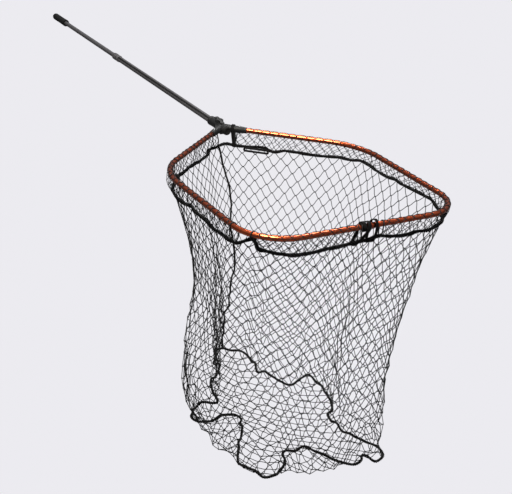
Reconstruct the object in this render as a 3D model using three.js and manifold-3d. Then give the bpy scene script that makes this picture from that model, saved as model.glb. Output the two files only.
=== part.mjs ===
// A long-reach landing net. A telescopic handle slides through the yoke of a rounded hoop, and a deep
// mesh bag hangs from the hoop on sleeves of doubled mesh. Millimetres, +Z up. The origin is the centre
// of the flat pad under the yoke. +Y runs back along the handle, and the hoop reaches out towards -Y.
import * as THREE from "three";
import { mergeVertices } from "three/addons/utils/BufferGeometryUtils.js";
import Module from "manifold-3d";

const wasm = await Module();
wasm.setup();

// ---------------------------------------------------------------- driving dimensions
const GAP = 0.3; // clearance between neighbouring pieces
const AXIS_Z = 18; // height of the hoop's and the handle's axes above the yoke's pad

// The hoop is a five-sided loop. Its two arms meet at the apex, which is over the origin.
const HOOP = {
  tubeRadius: 8,
  wall: 1.5,
  backCorner: { x: 350, y: -301, radius: 219 },
  frontCorner: { x: 335, y: -840, radius: 131 },
  armStart: 34, // the tube starts this far from the apex
};

const YOKE = {
  barrel: { front: -36, rear: 74, radius: 15 },
  socket: { start: 12, end: 86, thick: 13, thin: 10 },
  screwAt: 62, // along the arm from the apex
  seatHeight: 10, // flats under screw head and nut, from the axis
  web: { half: 7, rear: 16, side: 26, front: -34 },
  strapAt: 40,
  pad: { halfWidth: 12, halfLength: 18 },
};

const OUTER_TUBE = { radius: 11, wall: 1.5, front: -36, rear: 908.4 };
const KEYWAY = { angle: 38, width: 3, depth: 0.8 }; // groove, degrees from the top towards -X
const INNER_TUBE = { radius: 9, wall: 1.2, front: 700, rear: 1693 };
const FERRULE = { front: 893, seat: 909, shoulder: 913, noseEnd: 943, radius: 13.2 };
const COLLAR = { front: 919, rear: 957, radius: 13.25 };
const GRIP = { mouth: 1548, end: 1700, radius: 15 };

const LATCH = { pivotY: 17, pivotZ: 19, halfWidth: 6, pinRadius: 1.5 };
// The brake pad swings forward as it lifts, so its window in the barrel is longer at the front.
const BRAKE = { padFront: -8.4, padRear: 2.4, windowFront: -10.4, windowRear: 3 };
const SPRING = { y: 33, radius: 2.2, wire: 0.35, bottom: 13.4, top: 18, turns: 3.5 };

const RIM_CORD = { radius: 4.25, drop: 52, apexRadius: 60 }; // drop is measured below the hoop's axis
const SLEEVE = { outer: 10.2, bandHalf: 2.4, shoulder: 17, bottom: 46 };
const BAG = { top: 62, depth: 800, thickness: 1.5, floorSag: 36 };
// The floor's outline is the hoop's, drawn in at the sides and at both ends.
const FLOOR = {
  apex: { x: 0, y: -96, radius: 90 },
  backCorner: { x: 252, y: -300, radius: 120 },
  frontCorner: { x: 245, y: -835, radius: 110 },
};
const SEAM = { floorRadius: 3.4, backRadius: 3 };
const STRAP = { thickness: 1.6, width: 9, yokeWidth: 10 };
const FRONT_STRAPS = [-12, 33]; // x of the two straps over the middle of the front bar
// The sleeves leave the hoop bare at the straps and round the left front corner. These are distances
// along the hoop from the middle of its front bar, positive to the left.
const BARE = { strapsFrom: -46, strapsTo: 26, cornerFrom: 340, cornerTo: 405 };
const LABEL = { from: 76, to: 156, height: 12, thickness: 1.4 };

const ROUND = 20; // facets around a handle piece

// ---------------------------------------------------------------- materials
const finish = (color, roughness, metalness) => ({ color, roughness, metalness });
const ANODISED = finish(0xd8501a, 0.3, 0.85);
const NYLON = finish(0x2b2c2f, 0.6, 0);
const TUBE_GREY = finish(0x4a4b50, 0.45, 0.3);
const COLLAR_GREY = finish(0x55565a, 0.5, 0.1);
const RUBBER = finish(0x141415, 0.85, 0);
const STEEL = finish(0xb9bcc0, 0.3, 1);
const MESH_CORD = finish(0x1b1c1d, 0.7, 0);
const WEBBING = finish(0x121213, 0.9, 0);

// ---------------------------------------------------------------- joining and cutting
function solidOf(geometry) {
  const bare = geometry.clone();
  bare.deleteAttribute("normal");
  bare.deleteAttribute("uv");
  const merged = mergeVertices(bare, 1e-3);
  return new wasm.Manifold(
    new wasm.Mesh({
      numProp: 3,
      vertProperties: new Float32Array(merged.attributes.position.array),
      triVerts: new Uint32Array(merged.index.array),
    }),
  );
}

function geometryOf(solid) {
  const { vertProperties, triVerts } = solid.getMesh();
  const geometry = new THREE.BufferGeometry();
  geometry.setAttribute("position", new THREE.BufferAttribute(vertProperties, 3));
  geometry.setIndex(new THREE.BufferAttribute(triVerts, 1));
  return geometry;
}

const join = (first, ...rest) => geometryOf(rest.reduce((a, b) => a.add(solidOf(b)), solidOf(first)));
const cut = (first, ...rest) => geometryOf(rest.reduce((a, b) => a.subtract(solidOf(b)), solidOf(first)));

// ---------------------------------------------------------------- basic shapes
const point = (x, y) => new THREE.Vector2(x, y);

// A turned piece about the handle's axis. The profile lists [radius, y] from front to rear.
function turned(profile, facets = ROUND) {
  const geometry = new THREE.LatheGeometry(profile.map(([r, y]) => point(r, y)), facets);
  return geometry.translate(0, 0, AXIS_Z);
}

// A turned sleeve with a straight bore: the profile is its outside, from front to rear.
function turnedSleeve(bore, outside, facets = ROUND) {
  const front = outside[0][1];
  const rear = outside[outside.length - 1][1];
  return turned([[bore, front], ...outside, [bore, rear], [bore, front]], facets);
}

function box(xs, ys, zs) {
  const geometry = new THREE.BoxGeometry(xs[1] - xs[0], ys[1] - ys[0], zs[1] - zs[0]);
  return geometry.translate((xs[0] + xs[1]) / 2, (ys[0] + ys[1]) / 2, (zs[0] + zs[1]) / 2);
}

function uprightCylinder(x, y, radius, low, high, facets = 12) {
  const geometry = new THREE.CylinderGeometry(radius, radius, high - low, facets);
  return geometry.rotateX(Math.PI / 2).translate(x, y, (low + high) / 2);
}

// A section drawn in x and z, run along the handle from one y to another.
function alongHandle(shape, from, to, curveSegments = 10) {
  const geometry = new THREE.ExtrudeGeometry(shape, {
    depth: to - from,
    bevelEnabled: false,
    curveSegments,
  });
  return geometry.rotateX(Math.PI / 2).translate(0, to, AXIS_Z);
}

function ring(outer, inner) {
  const shape = new THREE.Shape().absarc(0, 0, outer, 0, 2 * Math.PI);
  if (inner) shape.holes.push(new THREE.Path().absarc(0, 0, inner, 0, 2 * Math.PI));
  return shape;
}

// ---------------------------------------------------------------- level outlines
// Points along a closed outline with rounded corners, starting at the first corner's arc.
function roundedLoop(corners, stepDegrees = 9) {
  const points = [];
  corners.forEach((corner, i) => {
    const here = point(corner.x, corner.y);
    const last = corners[(i + corners.length - 1) % corners.length];
    const next = corners[(i + 1) % corners.length];
    const back = point(last.x, last.y).sub(here).normalize();
    const ahead = point(next.x, next.y).sub(here).normalize();
    const turn = Math.PI - back.angleTo(ahead);
    const reach = corner.radius / Math.cos(turn / 2);
    const centre = back.clone().add(ahead).normalize().multiplyScalar(reach).add(here);
    const start = back.clone().multiplyScalar(corner.radius * Math.tan(turn / 2)).add(here);
    const steps = Math.max(1, Math.round((turn * 180) / Math.PI / stepDegrees));
    for (let k = 0; k <= steps; k++) {
      points.push(start.clone().rotateAround(centre, (-turn * k) / steps));
    }
  });
  points.push(points[0].clone());
  return points;
}

// The loop's corners in order: apex, right side, front, left side.
function fiveCorners(apex, back, front) {
  return [apex, back, front, { ...front, x: -front.x }, { ...back, x: -back.x }];
}

function lengths(points) {
  const sums = [0];
  for (let i = 1; i < points.length; i++) sums.push(sums[i - 1] + points[i].distanceTo(points[i - 1]));
  return sums;
}

function pointAt(points, sums, distance) {
  let i = 1;
  while (i < points.length - 1 && sums[i] < distance) i++;
  const share = (distance - sums[i - 1]) / (sums[i] - sums[i - 1]);
  return points[i - 1].clone().lerp(points[i], share);
}

// The part of an outline between two distances along it.
function stretch(points, from, to) {
  const sums = lengths(points);
  const inside = points.filter((p, i) => sums[i] > from + 1 && sums[i] < to - 1);
  return [pointAt(points, sums, from), ...inside, pointAt(points, sums, to)];
}

// A path through level points. On its sections, x points outward from the loop and y points up.
class LevelPath extends THREE.Curve {
  constructor(points, z) {
    super();
    this.points = points.map((p) => new THREE.Vector3(p.x, p.y, z));
  }
  getPointAt(share) {
    return this.points[Math.round(share * (this.points.length - 1))].clone();
  }
  computeFrenetFrames(steps) {
    const frames = { tangents: [], normals: [], binormals: [] };
    for (let i = 0; i <= steps; i++) {
      const before = this.points[Math.max(i - 1, 0)];
      const after = this.points[Math.min(i + 1, steps)];
      const tangent = after.clone().sub(before).normalize();
      frames.tangents.push(tangent);
      frames.normals.push(new THREE.Vector3(-tangent.y, tangent.x, 0));
      frames.binormals.push(new THREE.Vector3(0, 0, 1));
    }
    return frames;
  }
}

function alongOutline(shape, points, z, curveSegments) {
  return new THREE.ExtrudeGeometry(shape, {
    steps: points.length - 1,
    extrudePath: new LevelPath(points, z),
    bevelEnabled: false,
    curveSegments,
  });
}

// ---------------------------------------------------------------- hoop outline
const SHARP_APEX = { x: 0, y: 0, radius: 0.01 };
const hoopLoop = roundedLoop(fiveCorners(SHARP_APEX, HOOP.backCorner, HOOP.frontCorner));
const hoopLength = lengths(hoopLoop).at(-1);
const armAngle = Math.atan2(HOOP.backCorner.x, -HOOP.backCorner.y); // of the right arm, from -Y
const armPoint = (side, distance) =>
  point(side * distance * Math.sin(armAngle), -distance * Math.cos(armAngle));

// Turns a piece that stands along +Y so that it runs out along one arm from the apex.
function alongArm(geometry, side) {
  return geometry.rotateZ(Math.PI + side * armAngle);
}

function hoopTube() {
  const shape = ring(HOOP.tubeRadius, HOOP.tubeRadius - HOOP.wall);
  const points = stretch(hoopLoop, HOOP.armStart, hoopLength - HOOP.armStart);
  const tube = alongOutline(shape, points, AXIS_Z, 7);
  return cut(tube, ...[-1, 1].map((side) => screwHole(side)));
}

// ---------------------------------------------------------------- yoke
function screwHole(side) {
  const at = armPoint(side, YOKE.screwAt);
  return uprightCylinder(at.x, at.y, 2.35, AXIS_Z - 25, AXIS_Z + 25);
}

function socketBlank(side) {
  const { start, end, thick, thin } = YOKE.socket;
  const profile = [[0, start], [thick, start], [thin + 0.6, end - 8], [thin, end - 8], [thin, end], [0, end]];
  const blank = new THREE.LatheGeometry(profile.map(([r, y]) => point(r, y)), 18);
  return alongArm(blank, side).translate(0, 0, AXIS_Z);
}

function socketBore(side) {
  const radius = HOOP.tubeRadius + GAP;
  const { armStart } = HOOP;
  const profile = [[0, armStart - GAP], [radius, armStart - GAP], [radius, YOKE.socket.end + 5], [0, YOKE.socket.end + 5]];
  const bore = new THREE.LatheGeometry(profile.map(([r, y]) => point(r, y)), 18);
  return alongArm(bore, side).translate(0, 0, AXIS_Z);
}

function seatCut(side, up) {
  const at = armPoint(side, YOKE.screwAt);
  const low = up > 0 ? AXIS_Z + YOKE.seatHeight : AXIS_Z - YOKE.seatHeight - 8;
  return uprightCylinder(at.x, at.y, 5.2, low, low + 8, 16);
}

function webPlate() {
  const { half, rear, side, front } = YOKE.web;
  const shape = new THREE.Shape([
    point(-14, rear),
    point(-side, -6),
    point(6 - side, -22),
    point(-6, front),
    point(6, front),
    point(side - 6, -22),
    point(side, -6),
    point(14, rear),
  ]);
  const plate = new THREE.ExtrudeGeometry(shape, { depth: 2 * half, bevelEnabled: false });
  return plate.translate(0, 0, AXIS_Z - half);
}

// The bore for the handle keeps a rib that rides in the tube's keyway.
function keyedBore() {
  const radius = OUTER_TUBE.radius + GAP;
  const { front, rear } = YOKE.barrel;
  const bore = turned([[0, front - 5], [radius, front - 5], [radius, rear + 5], [0, rear + 5]], 28);
  const ribTip = OUTER_TUBE.radius - KEYWAY.depth + GAP;
  const ribHalf = KEYWAY.width / 2 - 0.4;
  const rib = box([-ribHalf, ribHalf], [front - 8, rear + 8], [ribTip, radius + 2]);
  rib.rotateY((-KEYWAY.angle * Math.PI) / 180).translate(0, 0, AXIS_Z);
  return cut(bore, rib);
}

function latchHole(halfLength) {
  const hole = new THREE.CylinderGeometry(LATCH.pinRadius + GAP, LATCH.pinRadius + GAP, 2 * halfLength, 14);
  return hole.rotateZ(Math.PI / 2).translate(0, LATCH.pivotY, AXIS_Z + LATCH.pivotZ);
}

function yokeBody() {
  const { barrel, pad } = YOKE;
  const { radius } = barrel;
  const tube = turned([
    [0, barrel.front],
    [radius - 0.8, barrel.front],
    [radius, barrel.front + 0.8],
    [radius, barrel.rear - 9],
    [radius + 0.9, barrel.rear - 8],
    [radius + 0.9, barrel.rear - 0.9],
    [radius, barrel.rear],
    [0, barrel.rear],
  ], 28);
  const ears = box([-11, 11], [LATCH.pivotY - 8, LATCH.pivotY + 8], [AXIS_Z + 8, AXIS_Z + 22.5]);
  const foot = box([-pad.halfWidth, pad.halfWidth], [-pad.halfLength, pad.halfLength], [0, AXIS_Z - 8]);
  const blank = join(tube, webPlate(), socketBlank(-1), socketBlank(1), ears, foot);
  const leverSlot = box(
    [-LATCH.halfWidth - 0.5, LATCH.halfWidth + 0.5],
    [LATCH.pivotY - 20, LATCH.pivotY + 20],
    [AXIS_Z + radius, AXIS_Z + 30],
  );
  const window = box([-5, 5], [BRAKE.windowFront, BRAKE.windowRear], [AXIS_Z + 6, AXIS_Z + 20]);
  const springSeat = uprightCylinder(0, SPRING.y, SPRING.radius + 1, AXIS_Z + 13, AXIS_Z + 18, 14);
  const sides = [-1, 1];
  return cut(
    blank,
    keyedBore(),
    leverSlot,
    window,
    springSeat,
    latchHole(15),
    ...sides.map(socketBore),
    ...sides.map(screwHole),
    ...sides.map((side) => seatCut(side, 1)),
    ...sides.map((side) => seatCut(side, -1)),
  );
}

// Button-head screw: a turned piece stood upright through the socket.
function yokeScrew(side) {
  const at = armPoint(side, YOKE.screwAt);
  const seat = YOKE.seatHeight + GAP;
  const profile = [
    [0, -seat - 3.4],
    [2, -seat - 3.4],
    [2, seat],
    [4, seat],
    [3.7, seat + 1.3],
    [2.4, seat + 2.2],
    [1.5, seat + 2.3],
    [1.5, seat + 1],
    [0, seat + 1],
  ];
  const screw = new THREE.LatheGeometry(profile.map(([r, y]) => point(r, y)), 12);
  return screw.rotateX(Math.PI / 2).translate(at.x, at.y, AXIS_Z);
}

function yokeNut(side) {
  const at = armPoint(side, YOKE.screwAt);
  const shape = new THREE.Shape();
  for (let k = 0; k < 6; k++) {
    const angle = (k * Math.PI) / 3;
    const corner = point(4 * Math.cos(angle), 4 * Math.sin(angle));
    if (k === 0) shape.moveTo(corner.x, corner.y);
    else shape.lineTo(corner.x, corner.y);
  }
  shape.holes.push(new THREE.Path().absarc(0, 0, 2.35, 0, 2 * Math.PI));
  const nut = new THREE.ExtrudeGeometry(shape, { depth: 3, bevelEnabled: false, curveSegments: 6 });
  return nut.translate(at.x, at.y, AXIS_Z - YOKE.seatHeight - GAP - 3);
}

// ---------------------------------------------------------------- thumb latch
function latchLever() {
  const shape = new THREE.Shape([point(-11, 15.7), point(11, 15.7), point(21, 16.4), point(41, 20.2)]);
  shape.lineTo(42, 21.5);
  for (let rib = 0; rib < 4; rib++) {
    const y = 41 - rib * 4.6;
    shape.lineTo(y, 24.2);
    shape.lineTo(y - 2.4, 24.2);
    shape.lineTo(y - 3.2, 23);
  }
  shape.lineTo(12, 22.3);
  shape.lineTo(-1, 19.6);
  shape.lineTo(-11, 17.4);
  const width = 2 * LATCH.halfWidth;
  const blank = new THREE.ExtrudeGeometry(shape, { depth: width, bevelEnabled: false });
  blank.applyMatrix4(new THREE.Matrix4().makeBasis(
    new THREE.Vector3(0, 1, 0),
    new THREE.Vector3(0, 0, 1),
    new THREE.Vector3(1, 0, 0),
  ));
  blank.translate(-LATCH.halfWidth, 0, AXIS_Z);
  return cut(blank, latchHole(15));
}

// Rubber brake pad under the lever's front end, hollowed to the tube.
function latchPad() {
  const block = box(
    [-4.4, 4.4],
    [BRAKE.padFront, BRAKE.padRear],
    [AXIS_Z + 9, AXIS_Z + 15.4],
  );
  return cut(block, alongHandle(ring(OUTER_TUBE.radius + 0.45), -20, 20, 18));
}

function latchPin() {
  const pin = new THREE.CylinderGeometry(LATCH.pinRadius, LATCH.pinRadius, 21, 12);
  return pin.rotateZ(Math.PI / 2).translate(0, LATCH.pivotY, AXIS_Z + LATCH.pivotZ);
}

class Helix extends THREE.Curve {
  getPoint(share) {
    const angle = share * SPRING.turns * 2 * Math.PI;
    const z = AXIS_Z + SPRING.bottom + share * (SPRING.top - SPRING.bottom);
    return new THREE.Vector3(SPRING.radius * Math.cos(angle), SPRING.y + SPRING.radius * Math.sin(angle), z);
  }
}

function latchSpring() {
  return new THREE.ExtrudeGeometry(ring(SPRING.wire), {
    steps: 10 * SPRING.turns,
    extrudePath: new Helix(),
    curveSegments: 3,
  });
}

// ---------------------------------------------------------------- handle
function outerTube() {
  const { radius, wall, front, rear } = OUTER_TUBE;
  const middle = Math.PI / 2 + (KEYWAY.angle * Math.PI) / 180;
  const half = Math.asin(KEYWAY.width / 2 / radius);
  const floor = radius - KEYWAY.depth;
  const shape = new THREE.Shape().absarc(0, 0, radius, middle + half, middle - half + 2 * Math.PI);
  shape.absarc(0, 0, floor, middle - half, middle + half);
  shape.holes.push(new THREE.Path().absarc(0, 0, radius - wall, 0, 2 * Math.PI));
  return alongHandle(shape, front - GAP, rear, 12);
}

function frontPlug() {
  const back = OUTER_TUBE.front - 2 * GAP;
  const stem = OUTER_TUBE.radius - OUTER_TUBE.wall - GAP;
  return turned([
    [0, back - 7.4],
    [9, back - 7.4],
    [10, back - 8.4],
    [13.4, back - 8.4],
    [14.5, back - 7.3],
    [14.5, back - 1],
    [13.9, back],
    [stem, back],
    [stem, back + 24],
    [0, back + 24],
  ], 24);
}

function tubeFerrule() {
  const { front, seat, shoulder, noseEnd, radius } = FERRULE;
  const bore = OUTER_TUBE.radius + GAP;
  const nose = INNER_TUBE.radius + 0.4;
  return turned([
    [bore, front],
    [radius - 1.2, front],
    [radius, front + 2],
    [radius, shoulder],
    [11.2, shoulder],
    [11.2, noseEnd],
    [nose, noseEnd],
    [nose, seat],
    [bore, seat],
    [bore, front],
  ]);
}

function sealRing() {
  const front = FERRULE.shoulder + GAP;
  return turnedSleeve(11.6, [[12.4, front], [13, front + 0.7], [13, front + 4.3], [12.4, front + 5]]);
}

function lockCollar() {
  const { front, rear, radius } = COLLAR;
  const hole = INNER_TUBE.radius + 0.5;
  const blank = turned([
    [11.8, front],
    [radius - 0.6, front],
    [radius, front + 1],
    [radius, rear - 12],
    [radius - 1.2, rear - 5],
    [radius - 3, rear - 0.6],
    [hole + 0.5, rear],
    [hole, rear - 0.5],
    [hole, rear - 3],
    [11.8, rear - 9],
    [11.8, front],
  ], 30);
  const flutes = [];
  for (let k = 0; k < 10; k++) {
    const flute = new THREE.CylinderGeometry(1.4, 1.4, 22, 8).translate(radius + 0.7, front + 14, 0);
    flutes.push(flute.rotateY((k * Math.PI) / 5).translate(0, 0, AXIS_Z));
  }
  return cut(blank, ...flutes);
}

// A split cone that the collar squeezes on to the inner tube.
function splitBush() {
  const front = FERRULE.noseEnd + GAP;
  const bush = turnedSleeve(INNER_TUBE.radius + GAP, [[11.3, front], [11.3, front + 5], [10.2, front + 7]]);
  return cut(bush, box([-0.6, 0.6], [front - 2, front + 12], [AXIS_Z + 5, AXIS_Z + 15]));
}

function innerTube() {
  const { radius, wall, front, rear } = INNER_TUBE;
  return alongHandle(ring(radius, radius - wall), front, rear);
}

// Guide bush that keeps the inner tube central inside the outer one.
function innerGuide() {
  const back = INNER_TUBE.front - GAP;
  const stem = INNER_TUBE.radius - INNER_TUBE.wall - GAP;
  return turned([[0, back - 12], [8, back - 12], [9.2, back - 10.5], [9.2, back], [stem, back], [stem, back + 14], [0, back + 14]]);
}

function buttPlug() {
  const radius = INNER_TUBE.radius - INNER_TUBE.wall - GAP;
  const { rear } = INNER_TUBE;
  return turned([[0, rear - 22], [radius - 0.8, rear - 22], [radius, rear - 20], [radius, rear - 1], [0, rear - 1]]);
}

function endGrip() {
  const { mouth, end, radius } = GRIP;
  const bore = INNER_TUBE.radius + GAP;
  return turned([
    [bore, mouth + 12],
    [12.6, mouth + 3],
    [12.8, mouth],
    [radius - 0.6, mouth],
    [radius + 0.3, mouth + 1.5],
    [radius, mouth + 10],
    [radius - 0.5, (mouth + end) / 2],
    [radius, end - 20],
    [radius - 0.4, end - 9],
    [radius - 2.2, end - 3.5],
    [radius - 5, end],
    [0, end],
    [0, INNER_TUBE.rear + GAP],
    [bore, INNER_TUBE.rear + GAP],
    [bore, mouth + 12],
  ], 24);
}

// ---------------------------------------------------------------- bag
const rimApex = { x: 0, y: 0, radius: RIM_CORD.apexRadius };
const rimLoop = roundedLoop(fiveCorners(rimApex, HOOP.backCorner, HOOP.frontCorner));
const floorLoop = roundedLoop(fiveCorners(FLOOR.apex, FLOOR.backCorner, FLOOR.frontCorner));

// The same loop, started again from the middle of its back and split into equal lengths.
function evenLoop(loop, count) {
  const sums = lengths(loop);
  const total = sums.at(-1);
  const back = loop.findIndex((p, i) => i > 0 && loop[i - 1].x <= 0 && p.x > 0);
  const share = -loop[back - 1].x / (loop[back].x - loop[back - 1].x);
  const origin = sums[back - 1] + share * (sums[back] - sums[back - 1]);
  return Array.from({ length: count + 1 }, (unused, i) =>
    pointAt(loop, sums, (origin + (i * total) / count) % total));
}

function cordLoop(loop, radius, z) {
  const total = lengths(loop).at(-1);
  return alongOutline(ring(radius), stretch(loop, 0, total - GAP), z, 4);
}

// A strip of doubled mesh that wraps the hoop and hangs from it to the rim cord.
function sleeve(from, to) {
  const { outer, bandHalf, shoulder, bottom } = SLEEVE;
  const shape = new THREE.Shape();
  shape.moveTo(bandHalf, -bottom);
  shape.lineTo(bandHalf, -shoulder);
  shape.absarc(0, 0, outer, -0.5, Math.PI + 0.5);
  shape.lineTo(-bandHalf, -shoulder);
  shape.lineTo(-bandHalf, -bottom);
  shape.holes.push(new THREE.Path().absarc(0, 0, HOOP.tubeRadius + GAP, 0, 2 * Math.PI));
  return alongOutline(shape, stretch(hoopLoop, from, to), AXIS_Z, 7);
}

// The wall is one net panel whose two ends meet at the back seam. It narrows towards the floor.
function netWall() {
  const around = 54;
  const levels = 7;
  const top = AXIS_Z - BAG.top;
  const bottom = AXIS_Z - BAG.depth + SEAM.floorRadius + GAP;
  const rim = evenLoop(rimLoop, around);
  const floor = evenLoop(floorLoop, around);
  const seamClear = SEAM.backRadius + 1;
  const grid = [];
  for (let k = 0; k <= levels; k++) {
    const drop = k / levels;
    const draw = Math.sin((drop * Math.PI) / 2) ** 1.2;
    const outline = rim.map((p, i) => p.clone().lerp(floor[i], draw));
    outline[0].x = seamClear;
    outline[around].x = -seamClear;
    grid.push({ outline, z: top + (bottom - top) * drop });
  }
  return shell(grid, BAG.thickness);
}

// A closed solid from stacked open outlines: outer skin, inner skin and the four edges between them.
function shell(grid, thickness) {
  const across = grid[0].outline.length;
  const positions = [];
  for (const { outline, z } of grid) {
    for (let i = 0; i < across; i++) {
      const before = outline[Math.max(i - 1, 0)];
      const after = outline[Math.min(i + 1, across - 1)];
      const inward = after.clone().sub(before).rotateAround(point(0, 0), -Math.PI / 2).setLength(thickness);
      positions.push(outline[i].x, outline[i].y, z);
      positions.push(outline[i].x + inward.x, outline[i].y + inward.y, z);
    }
  }
  const index = [];
  const at = (k, i, inner) => 2 * (k * across + i) + inner;
  const quad = (a, b, c, d) => index.push(a, b, c, a, c, d);
  const last = grid.length - 1;
  for (let k = 0; k < last; k++) {
    for (let i = 0; i < across - 1; i++) {
      quad(at(k, i, 0), at(k, i + 1, 0), at(k + 1, i + 1, 0), at(k + 1, i, 0));
      quad(at(k, i, 1), at(k + 1, i, 1), at(k + 1, i + 1, 1), at(k, i + 1, 1));
    }
    quad(at(k, 0, 0), at(k + 1, 0, 0), at(k + 1, 0, 1), at(k, 0, 1));
    quad(at(k, across - 1, 0), at(k, across - 1, 1), at(k + 1, across - 1, 1), at(k + 1, across - 1, 0));
  }
  for (let i = 0; i < across - 1; i++) {
    quad(at(0, i, 0), at(0, i, 1), at(0, i + 1, 1), at(0, i + 1, 0));
    quad(at(last, i, 0), at(last, i + 1, 0), at(last, i + 1, 1), at(last, i, 1));
  }
  const geometry = new THREE.BufferGeometry();
  geometry.setAttribute("position", new THREE.Float32BufferAttribute(positions, 3));
  geometry.setIndex(index);
  return geometry;
}

// The floor panel hangs below its seam like a shallow dish.
function netFloor() {
  const inset = SEAM.floorRadius + GAP + 0.3;
  const loop = evenLoop(floorLoop, 40).slice(0, -1);
  const outline = loop.map((p, i) => {
    const before = loop[(i + loop.length - 1) % loop.length];
    const after = loop[(i + 1) % loop.length];
    const inward = after.clone().sub(before).rotateAround(point(0, 0), -Math.PI / 2).setLength(inset);
    return p.clone().add(inward);
  });
  const middle = point(0, -500);
  const rings = [1, 0.8, 0.55, 0.28];
  const top = AXIS_Z - BAG.depth;
  const sagAt = (share) => BAG.floorSag * (1 - share * share);
  const positions = [];
  for (const below of [0, BAG.thickness]) {
    for (const share of rings) {
      for (const p of outline) {
        const at = middle.clone().lerp(p, share);
        positions.push(at.x, at.y, top - sagAt(share) - below);
      }
    }
    positions.push(middle.x, middle.y, top - BAG.floorSag - below);
  }
  const around = outline.length;
  const skin = rings.length * around + 1;
  const index = [];
  for (let i = 0; i < around; i++) {
    const j = (i + 1) % around;
    for (let k = 0; k < rings.length - 1; k++) {
      const [a, b, c, d] = [k * around + i, k * around + j, (k + 1) * around + j, (k + 1) * around + i];
      index.push(a, c, b, a, d, c, skin + a, skin + b, skin + c, skin + a, skin + c, skin + d);
    }
    const [a, b] = [skin - 1 - around + i, skin - 1 - around + j];
    index.push(a, skin - 1, b, skin + a, skin + b, 2 * skin - 1);
    index.push(i, j, skin + j, i, skin + j, skin + i);
  }
  const geometry = new THREE.BufferGeometry();
  geometry.setAttribute("position", new THREE.Float32BufferAttribute(positions, 3));
  geometry.setIndex(index);
  return geometry;
}

// Cord that closes the wall panel, from the rim cord down to the floor seam.
function backSeam() {
  const top = AXIS_Z - BAG.top + 4;
  const bottom = AXIS_Z - BAG.depth + SEAM.floorRadius + 1.5;
  const rimBack = evenLoop(rimLoop, 54)[0].y;
  const floorBack = evenLoop(floorLoop, 54)[0].y;
  const points = [];
  for (let k = 0; k <= 7; k++) {
    const drop = k / 7;
    const draw = Math.sin((drop * Math.PI) / 2) ** 1.2;
    const y = rimBack + (floorBack - rimBack) * draw;
    points.push(new THREE.Vector3(0, y - BAG.thickness / 2, top + (bottom - top) * drop));
  }
  return new THREE.ExtrudeGeometry(ring(SEAM.backRadius), {
    steps: 14,
    extrudePath: new THREE.CatmullRomCurve3(points),
    curveSegments: 4,
  });
}

// ---------------------------------------------------------------- straps and label
// The outline of a belt round two circles, the upper one at the origin and the lower one below it.
function beltOutline(Kind, upper, lower, drop) {
  const lean = Math.asin((upper - lower) / drop);
  const belt = new Kind();
  belt.absarc(0, 0, upper, -lean, Math.PI + lean);
  belt.absarc(0, -drop, lower, Math.PI + lean, 2 * Math.PI - lean);
  belt.closePath();
  return belt;
}

function strapLoop(upper, lower, drop, width) {
  const { thickness } = STRAP;
  const belt = beltOutline(THREE.Shape, upper + thickness, lower + thickness, drop);
  belt.holes.push(beltOutline(THREE.Path, upper, lower, drop));
  const strap = new THREE.ExtrudeGeometry(belt, { depth: width, bevelEnabled: false, curveSegments: 6 });
  return strap.translate(0, 0, -width / 2);
}

function frontStrap(x) {
  const strap = strapLoop(HOOP.tubeRadius + GAP, RIM_CORD.radius + GAP, RIM_CORD.drop, STRAP.width);
  strap.rotateX(Math.PI / 2).rotateZ(Math.PI / 2);
  return strap.translate(x, HOOP.frontCorner.y, AXIS_Z);
}

// Strap round the right-hand socket, just in front of the barrel, and round the rim cord below it.
function yokeStrap() {
  const at = armPoint(1, YOKE.strapAt);
  const strap = strapLoop(YOKE.socket.thick + GAP, RIM_CORD.radius + 2.8, RIM_CORD.drop, STRAP.yokeWidth);
  strap.rotateX(Math.PI / 2).rotateZ(armAngle);
  return strap.translate(at.x, at.y, AXIS_Z);
}

// Blank tag sewn along the inner side of the rim cord, under the right arm.
function labelTag() {
  const inward = RIM_CORD.radius + GAP + LABEL.thickness;
  const tag = new THREE.BoxGeometry(LABEL.thickness, LABEL.to - LABEL.from, LABEL.height);
  tag.translate(inward, (LABEL.from + LABEL.to) / 2, 0);
  return alongArm(tag, 1).translate(0, 0, AXIS_Z - RIM_CORD.drop - 5);
}

// ---------------------------------------------------------------- assembly
const net = new THREE.Group();

function add(name, geometry, look) {
  const mesh = new THREE.Mesh(geometry, new THREE.MeshStandardMaterial(look));
  mesh.name = name;
  net.add(mesh);
}

const socketEnd = YOKE.socket.end + 1;
const frontMiddle = hoopLength / 2;

add("hoop_tube", hoopTube(), ANODISED);
add("yoke_body", yokeBody(), NYLON);
add("yoke_screw_left", yokeScrew(-1), STEEL);
add("yoke_screw_right", yokeScrew(1), STEEL);
add("yoke_nut_left", yokeNut(-1), STEEL);
add("yoke_nut_right", yokeNut(1), STEEL);

add("latch_lever", latchLever(), NYLON);
add("latch_pad", latchPad(), RUBBER);
add("latch_pin", latchPin(), STEEL);
add("latch_spring", latchSpring(), STEEL);

add("outer_tube", outerTube(), TUBE_GREY);
add("front_plug", frontPlug(), RUBBER);
add("tube_ferrule", tubeFerrule(), COLLAR_GREY);
add("seal_ring", sealRing(), RUBBER);
add("lock_collar", lockCollar(), COLLAR_GREY);
add("split_bush", splitBush(), NYLON);
add("inner_tube", innerTube(), TUBE_GREY);
add("inner_guide", innerGuide(), NYLON);
add("butt_plug", buttPlug(), NYLON);
add("end_grip", endGrip(), RUBBER);

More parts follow.
